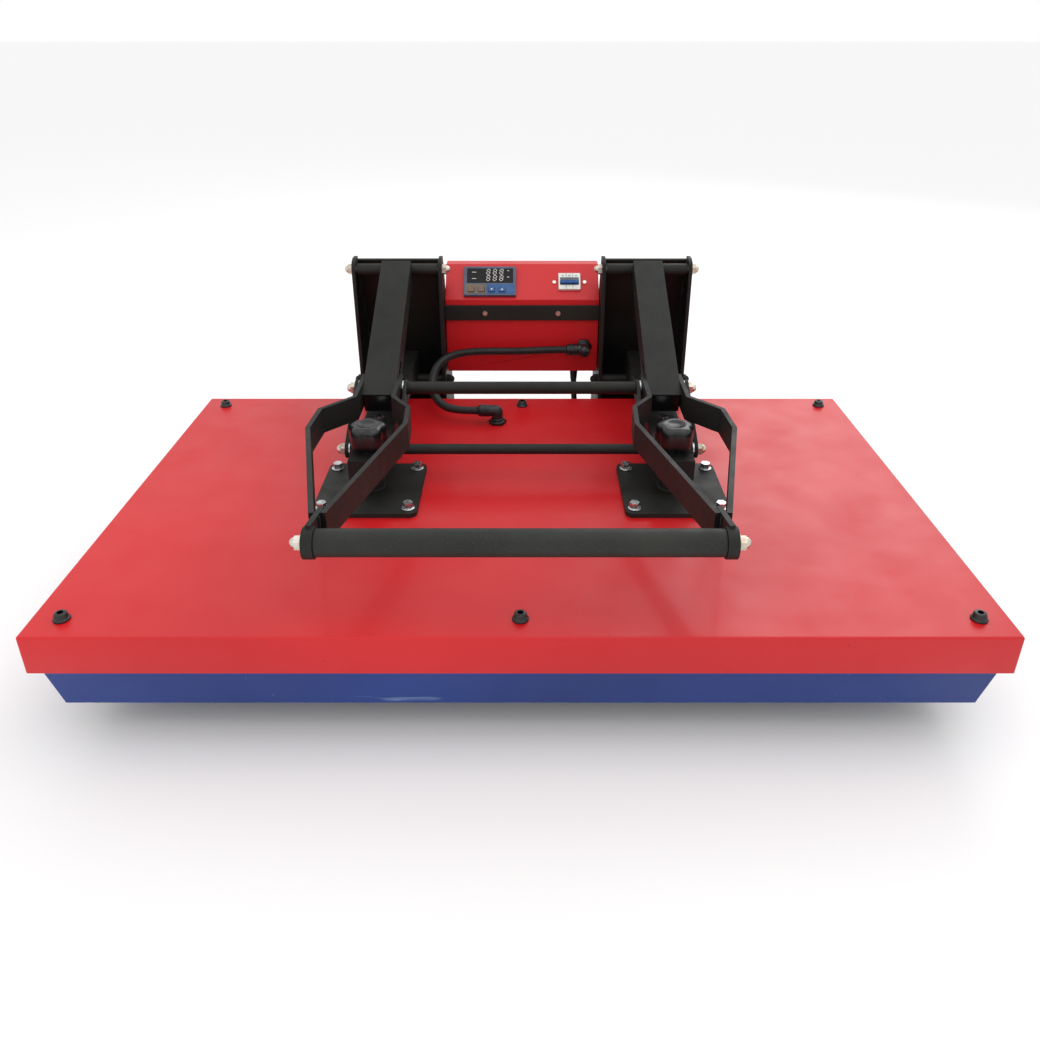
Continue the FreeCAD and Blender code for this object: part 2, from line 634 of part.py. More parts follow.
PLATE_BASE = "(bed_top + pad_thick + pad_gap)"
PLATE_TOP = "(bed_top + pad_thick + pad_gap + plate_thick)"
plate = box(("-platen_wide / 2", "platen_mid_y - platen_deep / 2", PLATE_BASE),
            ("platen_wide", "platen_deep", "plate_thick"))
GROOVES = [f"platen_mid_y + {row} * heater_pitch" for row in (-3.5, -2.5, -1.5, -0.5, 0.5, 1.5, 2.5, 3.5)]
REACH = "(platen_wide / 2 - 60)"


def heater_run(y, radius):
    return rod((f"-{REACH}", y, PLATE_TOP), radius, f"2 * {REACH}", "x")


keep("heating_plate", cut(plate, *[heater_run(y, "heater_radius + 0.2") for y in GROOVES]))
keep("heater_rods", group(*[heater_run(y, "heater_radius") for y in GROOVES]))
wool = box(("-platen_wide / 2 + 20", "platen_mid_y - platen_deep / 2 + 20", f"{PLATE_TOP} + heater_radius + 1"),
           ("platen_wide - 40", "platen_deep - 40", "wool_thick"))


def spacer(x, y, radius="9"):
    return rod((x, y, PLATE_TOP), radius, f"cover_top - cover_sheet - {PLATE_TOP}")


bolt_xy = [place_xy for side in (-1, 1) for place_xy in mount_bolts(side)]
keep("insulation_wool", cut(wool, *[spacer(x, y, "11") for x, y in bolt_xy]))
spacer_bores = [rod((x, y, "cover_top - 25"), "4.2", "30") for x, y in bolt_xy]
keep("plate_spacers", group(*[cut(spacer(x, y), bore) for (x, y), bore in zip(bolt_xy, spacer_bores)]))

# ---------------------------------------------------------------- control box
BOX_PROFILE = [("box_front", "box_base"), ("box_front", "box_fold"), ("box_top_y", "box_top"),
               ("box_rear", "box_top"), ("box_rear", "box_base")]
shell = outline("box_shell", "YZ_Plane", BOX_PROFILE, "2 * box_half")
INNER_PROFILE = [("box_front + box_sheet", "box_base + box_sheet"),
                 ("box_front + box_sheet", "box_fold - 0.6"), ("box_top_y + 0.7", "box_top - box_sheet"),
                 ("box_rear + 1", "box_top - box_sheet"), ("box_rear + 1", "box_base + box_sheet")]
hollow = outline("box_hollow", "YZ_Plane", INNER_PROFILE, "2 * (box_half - box_sheet)")
PANEL_SLOPE = "atan2(box_top - box_fold; box_top_y - box_front)"


def on_panel(thing, x, along="32", out="0"):
    """Place a panel-frame shape: x across, +Y up the slope, +Z out of the panel."""
    y = f"box_front + {along} * cos({PANEL_SLOPE}) - ({out}) * sin({PANEL_SLOPE})"
    z = f"box_fold + {along} * sin({PANEL_SLOPE}) + ({out}) * cos({PANEL_SLOPE})"
    return place(thing, (x, y, z), (1, 0, 0), PANEL_SLOPE)


def panel_hole(wide, tall, x):
    return on_panel(fuse(box((f"-({wide}) / 2", f"-({tall}) / 2", "-12"), (wide, tall, "24"))), x)


case_hole = panel_hole("case_wide - 6", "case_tall - 6", "case_x")
breaker_hole = panel_hole("breaker_wide - 2", "breaker_tall - 2", "breaker_x")
gland_hole = rod(("cord_x", "cord_y", "box_base - 5"), "8", "12")
elbow_hole = rod(("elbow_x", "box_front - 5", "elbow_z"), "8.6", "12", "y")
keep("control_box", cut(shell, hollow, case_hole, breaker_hole, gland_hole, elbow_hole))
keep("box_back_panel", box(("-box_half + box_sheet + 0.3", "box_rear - box_sheet", "box_base + box_sheet + 0.3"),
                           ("2 * (box_half - box_sheet) - 0.6", "box_sheet",
                            "box_top - box_base - 2 * box_sheet - 0.6")))
STRAP_HALF = "(arm_x - tower_half)"
keep("box_strap", box((f"-{STRAP_HALF}", "box_front - strap_thick", "strap_base"),
                      (f"2 * {STRAP_HALF}", "strap_thick", "strap_tall")))


def strap_screw(x):
    return rod((x, "box_front - strap_thick - 2.5", "strap_base + strap_tall / 2"), "4", "2.5", "y")


strap_screws = [strap_screw("-61"), strap_screw("59")]


def controller_case():
    bezel = box(("-case_wide / 2", "-case_tall / 2", "0"), ("case_wide", "case_tall", "6"))
    tub = box(("-case_wide / 2 + 4", "-case_tall / 2 + 4", "-34"), ("case_wide - 8", "case_tall - 8", "35"))
    well = box(("-case_wide / 2 + 5", "-4", "3"), ("case_wide - 10", "case_tall / 2", "4"))
    wells = [box((f"{x} - 5.3", "-21.3", "2"), ("10.6", "8.6", "5")) for x in BUTTON_PLACES.values()]
    keep("controller_case", on_panel(cut(fuse(bezel, tub), well, *wells), "case_x"))
    glass = box(("-case_wide / 2 + 5.2", "-3.8", "3"), ("case_wide - 10.4", "case_tall / 2 - 0.4", "2.4"))
    keep("controller_display", on_panel(fuse(glass), "case_x"))


BUTTON_PLACES = {"set": "-31", "shift": "-14", "down": "3", "up": "20"}
controller_case()
for name, x in BUTTON_PLACES.items():
    cap = fuse(box((f"{x} - 5", "-21", "3.5"), ("10", "8", "4.5")))
    keep(f"button_{name}", on_panel(cap, "case_x"))

breaker_body = fuse(box(("-breaker_wide / 2", "-breaker_tall / 2", "0"), ("breaker_wide", "breaker_tall", "5")),
                    box(("-breaker_wide / 2 + 2", "-breaker_tall / 2 + 2", "-30"),
                        ("breaker_wide - 4", "breaker_tall - 4", "31")))
breaker_well = box(("-breaker_wide / 2 + 2.5", "-7", "-4"), ("breaker_wide - 5", "14", "12"))
keep("breaker_body", on_panel(cut(breaker_body, breaker_well), "breaker_x"))
toggle = fuse(rod(("-breaker_wide / 2 + 2.8", "0", "1.5"), "3.2", "breaker_wide - 5.6", "x"),
              box(("-breaker_wide / 2 + 4", "-2", "1.5"), ("breaker_wide - 8", "4", "8.5"), (1, 0, 0), "25"))
keep("breaker_toggle", on_panel(toggle, "breaker_x"))


def panel_screw(x):
    return on_panel(fuse(rod((x, "0", "0"), "3", "2")), "breaker_x")


keep("box_screws", group(panel_screw("-breaker_wide / 2 - 7"), panel_screw("breaker_wide / 2 + 7"),
                         *strap_screws))
keep("power_relay", fuse(box(("-40", "box_front + 12", "box_base + box_sheet"), ("60", "40", "22")),
                         box(("-50", "box_front + 8", "box_base + box_sheet"), ("80", "50", "3"))))

# ---------------------------------------------------------------- conduit between box and cover
box_elbow = fuse(rod(("elbow_x", "box_front - 18", "elbow_z"), "8.5", "20", "y"),
                 ball(("elbow_x", "box_front - 18", "elbow_z"), "9.5"),
                 rod(("elbow_x - elbow_long", "box_front - 18", "elbow_z"), "9.5", "elbow_long", "x"),
                 hexagon(("elbow_x", "box_front - 5", "elbow_z"), "13", "5", "y"))
keep("elbow_box_end", box_elbow)
cover_elbow = fuse(hexagon(("-38", "120", "cover_top"), "14", "6"),
                   rod(("-38", "120", "cover_top + 5"), "9", "16"),
                   ball(("-38", "120", "cover_top + 21"), "9.8"),
                   rod(("-38 - elbow_long", "120", "cover_top + 21"), "9.5", "elbow_long", "x"))
keep("elbow_cover_end", cover_elbow)


def tube_route(points):
    """Straight runs joined by tangent arcs; each arc is as large as its two runs allow."""
    corners = [Vector(*p) for p in points]
    edges = []
    begin = corners[0]
    for before, here, after in zip(corners, corners[1:], corners[2:]):
        into = here - before
        away = after - here
        turn = into.getAngle(away)
        setback = 0.45 * min(into.Length, away.Length)
        print("bend radius", round(setback / math.tan(turn / 2), 1))
        first = here - into * (setback / into.Length)
        last = here + away * (setback / away.Length)
        bisector = (away / away.Length - into / into.Length).normalize()
        radius = setback / math.tan(turn / 2)
        middle = here + bisector * (radius / math.cos(turn / 2) - radius)
        edges.append(Part.LineSegment(begin, first).toShape())
        edges.append(Part.Arc(first, middle, last).toShape())
        begin = last
    edges.append(Part.LineSegment(begin, corners[-1]).toShape())
    return Part.Wire(edges)


def tube(label, points, radius):
    wire = tube_route(points)
    heading = Vector(*points[1]) - Vector(*points[0])
    ring = Part.Wire(Part.makeCircle(radius, Vector(*points[0]), heading))
    solid = wire.makePipeShell([ring], True, False)
    print(label, "volume ratio", round(solid.Volume / (math.pi * radius ** 2 * wire.Length), 4),
          "length", round(wire.Length))
    thing = doc.addObject("Part::Feature", label)
    thing.Shape = solid
    return keep(label, thing)


lay_z = size("cover_top") + 21
hang_z = size("elbow_z")
CONDUIT = [(73, 261, hang_z), (46, 261, hang_z), (10, 260, 218), (-34, 259, 218), (-80, 256, 219),
           (-116, 245, 217), (-136, 221, 211), (-144, 192, 199), (-142, 163, 186), (-128, 136, 175),
           (-104, 120, lay_z), (-68, 120, lay_z)]
tube("conduit", CONDUIT, size("conduit_radius"))

# ---------------------------------------------------------------- mains cord
gland = fuse(hexagon(("cord_x", "cord_y", "box_base - 5"), "11", "5"),
             cone(("cord_x", "cord_y", "box_base - 14"), "7.5", "9", "9"),
             rod(("cord_x", "cord_y", "box_base - 1"), "7.8", "8"))
gland_bore = rod(("cord_x", "cord_y", "box_base - 15"), "cord_radius + 0.05", "30")
keep("cord_gland", cut(gland, gland_bore))
cord_x = size("cord_x")
cord_y = size("cord_y")
CORD = [(cord_x, cord_y, size("box_base")), (cord_x, cord_y + 1, 140), (cord_x + 2, cord_y + 8, 108),
        (cord_x + 5, cord_y + 28, 82), (cord_x + 7, cord_y + 56, 65), (cord_x + 8, cord_y + 84, 50),
        (cord_x + 9, cord_y + 108, 34), (cord_x + 9, cord_y + 128, 21), (cord_x + 9, cord_y + 148, 16)]
tube("mains_cord", CORD, size("cord_radius"))
coil_ring = rod(("coil_x", "coil_y", "0.5"), "coil_outer", "coil_tall")
coil_eye = rod(("coil_x", "coil_y", "0"), "coil_inner", "coil_tall + 2")
keep("cord_coil", cut(coil_ring, coil_eye))


def mains_plug():
    """A moulded plug with two round pins; its relief cone leaves the coil's last turn."""
    relief = cone(("0", "0", "0"), "cord_radius + 0.5", "8.8", "30")
    body = box(("-9", "-11", "29"), ("18", "22", "36"))
    pins = [rod(("0", y, "64"), "2.4", "19") for y in ("-8.5", "8.5")]
    return place(fuse(relief, body, *pins), ("coil_x - 16", "coil_y + 60", "9.5"), (0, 1, 0), "-90")


keep("mains_plug", mains_plug())

# ---------------------------------------------------------------- check and export
doc.recompute()
for thing in doc.Objects:
    if "Invalid" in thing.State or "Error" in thing.State:
        raise RuntimeError(f"{thing.Name} {thing.Label} failed: {thing.State}")
os.makedirs("parts", exist_ok=True)
for node in nodes:
    shape = node.Shape
    if shape.isNull() or not shape.isValid() or not shape.Solids:
        raise RuntimeError(f"{node.Label} has no valid shape")
    shape.exportStep(f"parts/{node.Label}.step")
    print(node.Label, len(shape.Solids), "solids")
print(len(nodes), "nodes")
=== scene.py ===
"""Looks for the large-format clamshell heat press.  Metres, in the CAD frame: +Z up, +Y to the back."""
import json
import math

import bmesh
import bpy
from mathutils import Matrix, Vector


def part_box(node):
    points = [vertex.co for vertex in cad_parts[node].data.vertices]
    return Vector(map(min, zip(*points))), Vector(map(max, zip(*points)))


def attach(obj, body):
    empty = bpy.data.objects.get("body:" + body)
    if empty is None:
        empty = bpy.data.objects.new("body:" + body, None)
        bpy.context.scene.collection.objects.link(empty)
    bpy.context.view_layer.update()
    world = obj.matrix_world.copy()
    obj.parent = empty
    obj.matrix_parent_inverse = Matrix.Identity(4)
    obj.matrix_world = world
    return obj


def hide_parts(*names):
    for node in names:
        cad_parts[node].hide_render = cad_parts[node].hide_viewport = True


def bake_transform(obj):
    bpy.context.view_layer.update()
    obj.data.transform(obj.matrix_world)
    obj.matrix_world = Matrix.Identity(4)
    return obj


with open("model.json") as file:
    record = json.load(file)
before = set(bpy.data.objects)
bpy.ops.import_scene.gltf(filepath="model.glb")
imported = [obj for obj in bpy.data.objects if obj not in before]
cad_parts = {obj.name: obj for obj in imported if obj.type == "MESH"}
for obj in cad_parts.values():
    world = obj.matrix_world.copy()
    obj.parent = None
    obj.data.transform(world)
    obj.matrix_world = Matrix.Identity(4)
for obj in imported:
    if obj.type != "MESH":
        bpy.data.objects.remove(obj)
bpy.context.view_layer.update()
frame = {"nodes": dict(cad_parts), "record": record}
scene = bpy.context.scene
TAU = 2 * math.pi


# ---------------------------------------------------------------- camera, light and floor
def make_camera():
    data = bpy.data.cameras.new("camera")
    data.sensor_width = 36
    data.lens = 30.5
    data.shift_x = -0.005
    data.shift_y = -0.067
    data.clip_end = 200
    camera = bpy.data.objects.new("camera", data)
    camera.location = (0.005, -1.129, 0.717)
    camera.rotation_euler = (math.radians(90 - 26.2), 0, 0)
    scene.collection.objects.link(camera)
    scene.camera = camera


def make_light(name, at, aim, wide, power, tint=(1, 1, 1)):
    data = bpy.data.lights.new(name, "AREA")
    data.size = wide
    data.energy = power
    data.color = tint
    light = bpy.data.objects.new(name, data)
    light.location = at
    light.rotation_euler = (Vector(aim) - Vector(at)).to_track_quat("-Z", "Y").to_euler()
    scene.collection.objects.link(light)


def make_world():
    world = bpy.data.worlds.new("studio")
    world.use_nodes = True
    back = world.node_tree.nodes["Background"]
    back.inputs["Color"].default_value = (1, 1, 1, 1)
    back.inputs["Strength"].default_value = 1.0
    scene.world = world


make_camera()
make_world()
make_light("overhead", (0.3, -0.5, 2.3), (0, -0.1, 0.1), 2.0, 10)
make_light("front_fill", (-1.5, -2.6, 1.5), (0, -0.2, 0.15), 1.4, 3, (1, 0.98, 0.96))
make_light("rear_rim", (1.2, 2.0, 1.7), (0, 0.2, 0.2), 1.5, 16, (0.97, 0.98, 1))
scene.view_settings.view_transform = "Standard"


# ---------------------------------------------------------------- procedural materials
def linear(red, green, blue):
    """An 8-bit display colour as linear light."""
    return tuple((c / 255 / 12.92) if c < 10.3 else ((c / 255 + 0.055) / 1.055) ** 2.4
                 for c in (red, green, blue))


class Finish:
    """One node material: a base shader, to which colour, roughness and relief layers are added."""

    def __init__(self, name, color, rough, metallic=0.0, coat=0.0, specular=0.5):
        self.material = bpy.data.materials.new(name)
        self.material.use_nodes = True
        self.tree = self.material.node_tree
        self.shader = self.tree.nodes["Principled BSDF"]
        self.shader.inputs["Metallic"].default_value = metallic
        self.shader.inputs["Roughness"].default_value = rough
        self.shader.inputs["Coat Weight"].default_value = coat
        self.shader.inputs["Coat Roughness"].default_value = 0.12
        self.shader.inputs["Specular IOR Level"].default_value = specular
        self.shader.inputs["Base Color"].default_value = (*color, 1)
        self.color = color
        self.rough = rough
        self.place = self.tree.nodes.new("ShaderNodeTexCoord").outputs["Object"]
        self.colour_out = None
        self.normal_out = None

    def noise(self, scale, detail=3.0, stretch=(1, 1, 1)):
        mapping = self.tree.nodes.new("ShaderNodeMapping")
        mapping.inputs["Scale"].default_value = stretch
        self.tree.links.new(self.place, mapping.inputs["Vector"])
        noise = self.tree.nodes.new("ShaderNodeTexNoise")
        noise.inputs["Scale"].default_value = scale
        noise.inputs["Detail"].default_value = detail
        self.tree.links.new(mapping.outputs["Vector"], noise.inputs["Vector"])
        return noise.outputs["Fac"]

    def mask(self, factor, low, high):
        """0 below low, 1 above high."""
        ramp = self.tree.nodes.new("ShaderNodeMapRange")
        ramp.inputs["From Min"].default_value = low
        ramp.inputs["From Max"].default_value = high
        self.tree.links.new(factor, ramp.inputs["Value"])
        return ramp.outputs["Result"]

    def tint(self, factor, color):
        """Mix towards a colour by a factor that varies over the surface."""
        mix = self.tree.nodes.new("ShaderNodeMix")
        mix.data_type = "RGBA"
        self.tree.links.new(factor, mix.inputs["Factor"])
        if self.colour_out is None:
            mix.inputs["A"].default_value = (*self.color, 1)
        else:
            self.tree.links.new(self.colour_out, mix.inputs["A"])
        mix.inputs["B"].default_value = (*color, 1)
        self.colour_out = mix.outputs["Result"]
        self.tree.links.new(self.colour_out, self.shader.inputs["Base Color"])
        return self

    def mottle(self, scale, amount, detail=4.0, stretch=(1, 1, 1)):
        """Soft lighter and darker areas."""
        dark = tuple(c * (1 - amount) for c in self.color)
        return self.tint(self.mask(self.noise(scale, detail, stretch), 0.35, 0.65), dark)

    def roughen(self, scale, spread, stretch=(1, 1, 1)):
        ramp = self.tree.nodes.new("ShaderNodeMapRange")
        ramp.inputs["From Min"].default_value = 0.3
        ramp.inputs["From Max"].default_value = 0.7
        ramp.inputs["To Min"].default_value = self.rough - spread
        ramp.inputs["To Max"].default_value = self.rough + spread
        self.tree.links.new(self.noise(scale, 3, stretch), ramp.inputs["Value"])
        self.tree.links.new(ramp.outputs["Result"], self.shader.inputs["Roughness"])
        return self

    def relief(self, height, depth):
        """Add a bump layer; depth is in metres."""
        bump = self.tree.nodes.new("ShaderNodeBump")
        bump.inputs["Strength"].default_value = 0.6
        bump.inputs["Distance"].default_value = depth
        self.tree.links.new(height, bump.inputs["Height"])
        if self.normal_out is not None:
            self.tree.links.new(self.normal_out, bump.inputs["Normal"])
        self.normal_out = bump.outputs["Normal"]
        self.tree.links.new(self.normal_out, self.shader.inputs["Normal"])
        return self

    def grain(self, scale, depth, detail=2.0, stretch=(1, 1, 1)):
        return self.relief(self.noise(scale, detail, stretch), depth)


def enamel(name, color, dark, scuff):
    """Sprayed enamel: orange peel, faint dents in the sheet, dust specks and a few rubbed spots."""
    finish = Finish(name, color, 0.40, coat=0.08, specular=0.35)
    finish.tint(finish.mask(finish.noise(2.2, 3), 0.3, 0.72), dark)
    finish.tint(finish.mask(finish.noise(160, 2), 0.74, 0.80), scuff)
    finish.roughen(18, 0.07)
    finish.grain(2.6, 0.0016, 1.0)
    return finish.grain(420, 0.00012)


def powder_coat(name, color, pale):
    """Textured powder coat: a fine pebbled relief with paler rubbed patches."""
    finish = Finish(name, color, 0.52, specular=0.25)
    finish.tint(finish.mask(finish.noise(7, 4), 0.42, 0.75), pale)
    finish.tint(finish.mask(finish.noise(900, 1), 0.66, 0.74), tuple(c * 1.8 for c in pale))
    finish.roughen(40, 0.08)
    finish.grain(1300, 0.00018)
    return finish.grain(90, 0.0001)


def plated(name, color, warm, rough=0.26):
    """Plated hardware: metal with cloudy colour, turned lines and small scratches."""
    finish = Finish(name, color, rough, metallic=1.0)
    finish.tint(finish.mask(finish.noise(110, 4), 0.4, 0.68), warm)
    finish.roughen(300, 0.1)
    finish.grain(1500, 0.00005, 1.0, (1, 0.15, 0.15))
    return finish.grain(260, 0.00004)


def moulded(name, color, rough=0.42, grain=1600, depth=0.00008, cloud=0.22):
    """Moulded plastic or rubber: a fine spark-eroded grain and slight shine differences."""
    finish = Finish(name, color, rough)
    finish.mottle(30, cloud)
    finish.roughen(60, 0.07)
    return finish.grain(grain, depth)


def brushed(name, color, rough, stretch):
    """Rolled or brushed metal: long fine lines one way, with cloudy handling marks."""
    finish = Finish(name, color, rough, metallic=1.0)
    finish.mottle(6, 0.25)
    finish.tint(finish.mask(finish.noise(500, 3, stretch), 0.35, 0.7), tuple(c * 0.8 for c in color))
    finish.roughen(300, 0.08, stretch)
    return finish.grain(700, 0.00005, 2.0, stretch)


def felt(name, color):
    """Mineral wool: matt, fibrous and uneven in colour."""
    finish = Finish(name, color, 0.95, specular=0.1)
    finish.mottle(40, 0.3)
    finish.tint(finish.mask(finish.noise(900, 4, (0.2, 1, 1)), 0.5, 0.8), linear(150, 132, 90))
    return finish.grain(700, 0.0006, 5.0, (0.2, 1, 1))


def blue_enamel():
    """The bed's satin blue, with long paler streaks painted in as the sheen caught on its wrinkled surface.
    """
    finish = enamel("blue_enamel", linear(26, 58, 134), linear(18, 42, 106), linear(90, 120, 170))
    # painted highlight: paler blue streaks stand in for the sheen on the wrinkles
    painted_sheen_streaks = finish.mask(finish.noise(26, 6, (0.35, 1, 2.6)), 0.66, 0.72)
    return finish.tint(painted_sheen_streaks, linear(92, 116, 160))


def window():
    """The smoked display window: near black and satin, with faint wipe marks."""
    finish = Finish("smoked_window", linear(14, 15, 18), 0.30, specular=0.2)
    finish.mottle(60, 0.3)
    return finish.roughen(40, 0.05, (1, 4, 4))


FINISHES = {
    "red_paint": enamel("red_enamel", linear(208, 26, 32), linear(190, 20, 27), linear(158, 15, 22)),
    "blue_paint": blue_enamel(),
    "black_coat": powder_coat("black_powder_coat", linear(27, 27, 25), linear(38, 38, 34)),
    "raw_steel": brushed("plain_steel", linear(128, 128, 130), 0.45, (0.05, 1, 1)),
    "zinc_steel": plated("yellow_zinc", linear(212, 208, 200), linear(190, 174, 148), 0.35),
    "bright_steel": plated("bright_zinc", linear(204, 205, 206), linear(166, 168, 172)),
    "plate_alu": brushed("coated_aluminium", linear(150, 152, 155), 0.38, (0.03, 1, 1)),
    "heater_metal": brushed("heater_sheath", linear(120, 112, 104), 0.5, (0.1, 1, 1)),
    "black_rubber": moulded("foot_rubber", linear(26, 26, 26), 0.7, 500, 0.0002),
    "grip_foam": powder_coat("grip_coat", linear(36, 36, 34), linear(48, 48, 44)),
    "silicone": moulded("grey_silicone", linear(196, 198, 196), 0.6, 350, 0.0002, 0.06),
    "mineral_wool": felt("mineral_wool", linear(206, 196, 164)),
    "black_plastic": moulded("black_moulding", linear(24, 24, 26), 0.32),
    "case_plastic": moulded("case_moulding", linear(70, 84, 108), 0.4),
    "display_glass": window(),
    "button_plastic": moulded("key_moulding", linear(34, 84, 142), 0.45),
    "white_plastic": moulded("white_moulding", linear(232, 232, 226), 0.32),
    "blue_plastic": moulded("blue_moulding", linear(26, 92, 170), 0.3),
    "cable_black": moulded("cable_jacket", linear(22, 22, 23), 0.5, 900, 0.00015),
}
brown_key = moulded("brown_moulding", linear(112, 92, 74), 0.45)
segment_ink = moulded("segment_ink", linear(226, 222, 212), 0.5)
arrow_ink = moulded("arrow_ink", linear(226, 230, 236), 0.5)
# painted shade: the grey of the breaker's seam grooves and of its toggle windows
painted_groove_shade = moulded("groove_shadow", linear(96, 98, 98), 0.6)
weld_metal = powder_coat("coated_weld", linear(32, 32, 30), linear(44, 44, 40))

for entry in frame["record"]["subparts"]:
    part = frame["nodes"][entry["node"]]
    for place in part.material_slots:
        place.material = FINISHES[entry["material_slot"]].material
for key in ("button_set", "button_shift"):
    for place in frame["nodes"][key].material_slots:
        place.material = brown_key.material


# ---------------------------------------------------------------- softened edges on the CAD nodes
def soften(node, width, segments=2):
    """Give a CAD node the small edge radii of folded sheet, rolled tube or moulded plastic."""
    part = frame["nodes"][node]
    weld = part.modifiers.new("weld", "WELD")
    weld.merge_threshold = 0.00002
    edge = part.modifiers.new("edge_radius", "BEVEL")
    edge.width = width
    edge.segments = segments
    edge.limit_method = "ANGLE"
    edge.angle_limit = math.radians(32)
    edge.use_clamp_overlap = True
    shade = part.modifiers.new("shade", "WEIGHTED_NORMAL")
    shade.keep_sharp = False


EDGE_RADII = {
    "base_frame": 0.003, "tower_side_plates": 0.001, "tower_backs": 0.0008, "tower_foot_plates": 0.001,
    "bed_tray": 0.0009, "control_box": 0.0007, "box_strap": 0.0008, "upper_arms": 0.0014,
    "fork_tines": 0.0008, "handle_eyes": 0.0008, "link_plates": 0.0008, "lower_arms": 0.0018,
    "hinge_legs": 0.0006, "hex_bolts": 0.0006, "breaker_body": 0.0006,
    "breaker_toggle": 0.0006, "controller_case": 0.0006, "silicone_pad": 0.0008, "heating_plate": 0.001,
}
for node_name, radius in EDGE_RADII.items():
    soften(node_name, radius)


# ---------------------------------------------------------------- mesh helpers
COVER_TOP = 0.150
PLATE_SEAT = 0.156
ARM_X = 0.199
KNOB_Y = -0.095
CONTROLLER_X = -0.053
BREAKER_X = 0.078
DIGIT_LOW, DIGIT_HIGH = 0.00535, 0.00560


def add_piece(name, mesh, finish, body, replaces=(), smooth=True):
    """Make an object of a mesh, give it a finish and let it ride on a CAD body."""
    if smooth:
        for face in mesh.polygons:
            face.use_smooth = True
    piece = bpy.data.objects.new(name, mesh)
    mesh.materials.append(finish.material)
    scene.collection.objects.link(piece)
    if body:
        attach(piece, body)
    if replaces:
        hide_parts(*replaces)
    return piece


def mesh_of(name, verts, faces):
    mesh = bpy.data.meshes.new(name)
    mesh.from_pydata([tuple(v) for v in verts], [], faces)
    mesh.update()
    return mesh


def rings_mesh(rings, closed_ends=True):
    """Vertices and faces of a skin over rings of equal count."""
    count = len(rings[0])
    verts = [point for ring in rings for point in ring]
    faces = []
    for r in range(len(rings) - 1):
        for i in range(count):
            j = (i + 1) % count
            faces.append((r * count + i, r * count + j, (r + 1) * count + j, (r + 1) * count + i))
    if closed_ends:
        faces.append(tuple(reversed(range(count))))
        faces.append(tuple(range((len(rings) - 1) * count, len(rings) * count)))
    return verts, faces


def turned(profile, count, spot, lobes=None):
    """Rings of a turned shape; profile holds (radius, height) and spot maps local points to the frame."""
    rings = []
    for radius, height in profile:
        ring = []
        for i in range(count):
            angle = TAU * i / count
            r = radius if lobes is None else lobes(radius, angle)
            ring.append(spot @ Vector((r * math.cos(angle), r * math.sin(angle), height)))
        rings.append(ring)
    return rings_mesh(rings)


def joined(shapes):
    """One list of vertices and faces from several."""
    verts = []
    faces = []
    for more_verts, more_faces in shapes:
        start = len(verts)
        verts.extend(more_verts)
        faces.extend(tuple(i + start for i in face) for face in more_faces)
    return verts, faces


def block(low, high, spot=Matrix.Identity(4)):
    """The eight corners and six faces of a block given by two local corners."""
    xs, ys, zs = zip(low, high)
    verts = [spot @ Vector((xs[i & 1], ys[(i >> 1) & 1], zs[(i >> 2) & 1])) for i in range(8)]
    faces = [(0, 2, 3, 1), (4, 5, 7, 6), (0, 1, 5, 4), (2, 6, 7, 3), (0, 4, 6, 2), (1, 3, 7, 5)]
    return verts, faces


def spline_line(name, route):
    """The smooth line of a route: a NURBS spline of order 3 through its two ends."""
    curve = bpy.data.curves.new(name, "CURVE")
    curve.dimensions = "3D"
    spline = curve.splines.new("NURBS")
    spline.points.add(len(route) - 1)
    for point, at in zip(spline.points, route):
        point.co = (*at, 1)
    spline.order_u = 3
    spline.use_endpoint_u = True
    curve.resolution_u = 16
    return curve


def line_points(name, route):
    """Points along the route's spline, as Blender itself works them out."""
    curve = spline_line(name, route)
    guide = bpy.data.objects.new(name, curve)
    scene.collection.objects.link(guide)
    bpy.context.view_layer.update()
    mesh = bpy.data.meshes.new_from_object(guide)
    points = [v.co.copy() for v in mesh.vertices]
    bpy.data.objects.remove(guide)
    return points


def evenly(points, step):
    """The same line with points a step apart."""
    out = [points[0].copy()]
    left = step
    for here, there in zip(points, points[1:]):
        run = (there - here).length
        gone = 0.0
        while run - gone >= left:
            gone += left
            out.append(here.lerp(there, gone / run))
            left = step
        left -= run - gone
    if (out[-1] - points[-1]).length > step / 4:
        out.append(points[-1].copy())
    return out


def tube_rings(points, radius_at, count=14):
    """Rings round a line, without twist; radius_at gives the radius of each point."""
    rings = []
    side = None
    for i, point in enumerate(points):
        ahead = points[min(i + 1, len(points) - 1)] - points[max(i - 1, 0)]
        ahead.normalize()
        if side is None:
            side = ahead.orthogonal().normalized()
        side = (side - ahead * side.dot(ahead)).normalized()
        other = ahead.cross(side)
        radius = radius_at(i)
        rings.append([point + (side * math.cos(TAU * k / count) + other * math.sin(TAU * k / count)) * radius
                      for k in range(count)])
    return rings


def axis_spot(at, along):
    """A placing matrix whose local +Z points along a direction."""
    turn = Vector(along).to_track_quat("Z", "Y").to_matrix().to_4x4()
    return Matrix.Translation(Vector(at)) @ turn


# ---------------------------------------------------------------- mains cord with its coil and plug
CORD_RADIUS = 0.005
CORD_ROUTE = [(0.090, 0.322, 0.175), (0.090, 0.323, 0.140), (0.092, 0.330, 0.108), (0.095, 0.350, 0.082),
              (0.097, 0.378, 0.065), (0.098, 0.406, 0.050), (0.099, 0.428, 0.034), (0.0985, 0.442, 0.0225)]
COIL_MIDDLE = (0.038, 0.456)
WIDE_TURN, TIGHT_TURN = 0.0600, 0.0497
UPPER_LAYER, LOWER_LAYER = 0.0160, 0.0056
COIL_TURNS = 3.25
STEPS_A_TURN = 12


def eased(value, start, stop, low, high):
    """A straight change from low to high while value goes from start to stop."""
    part = min(1.0, max(0.0, (value - start) / (stop - start)))
    return low + (high - low) * part


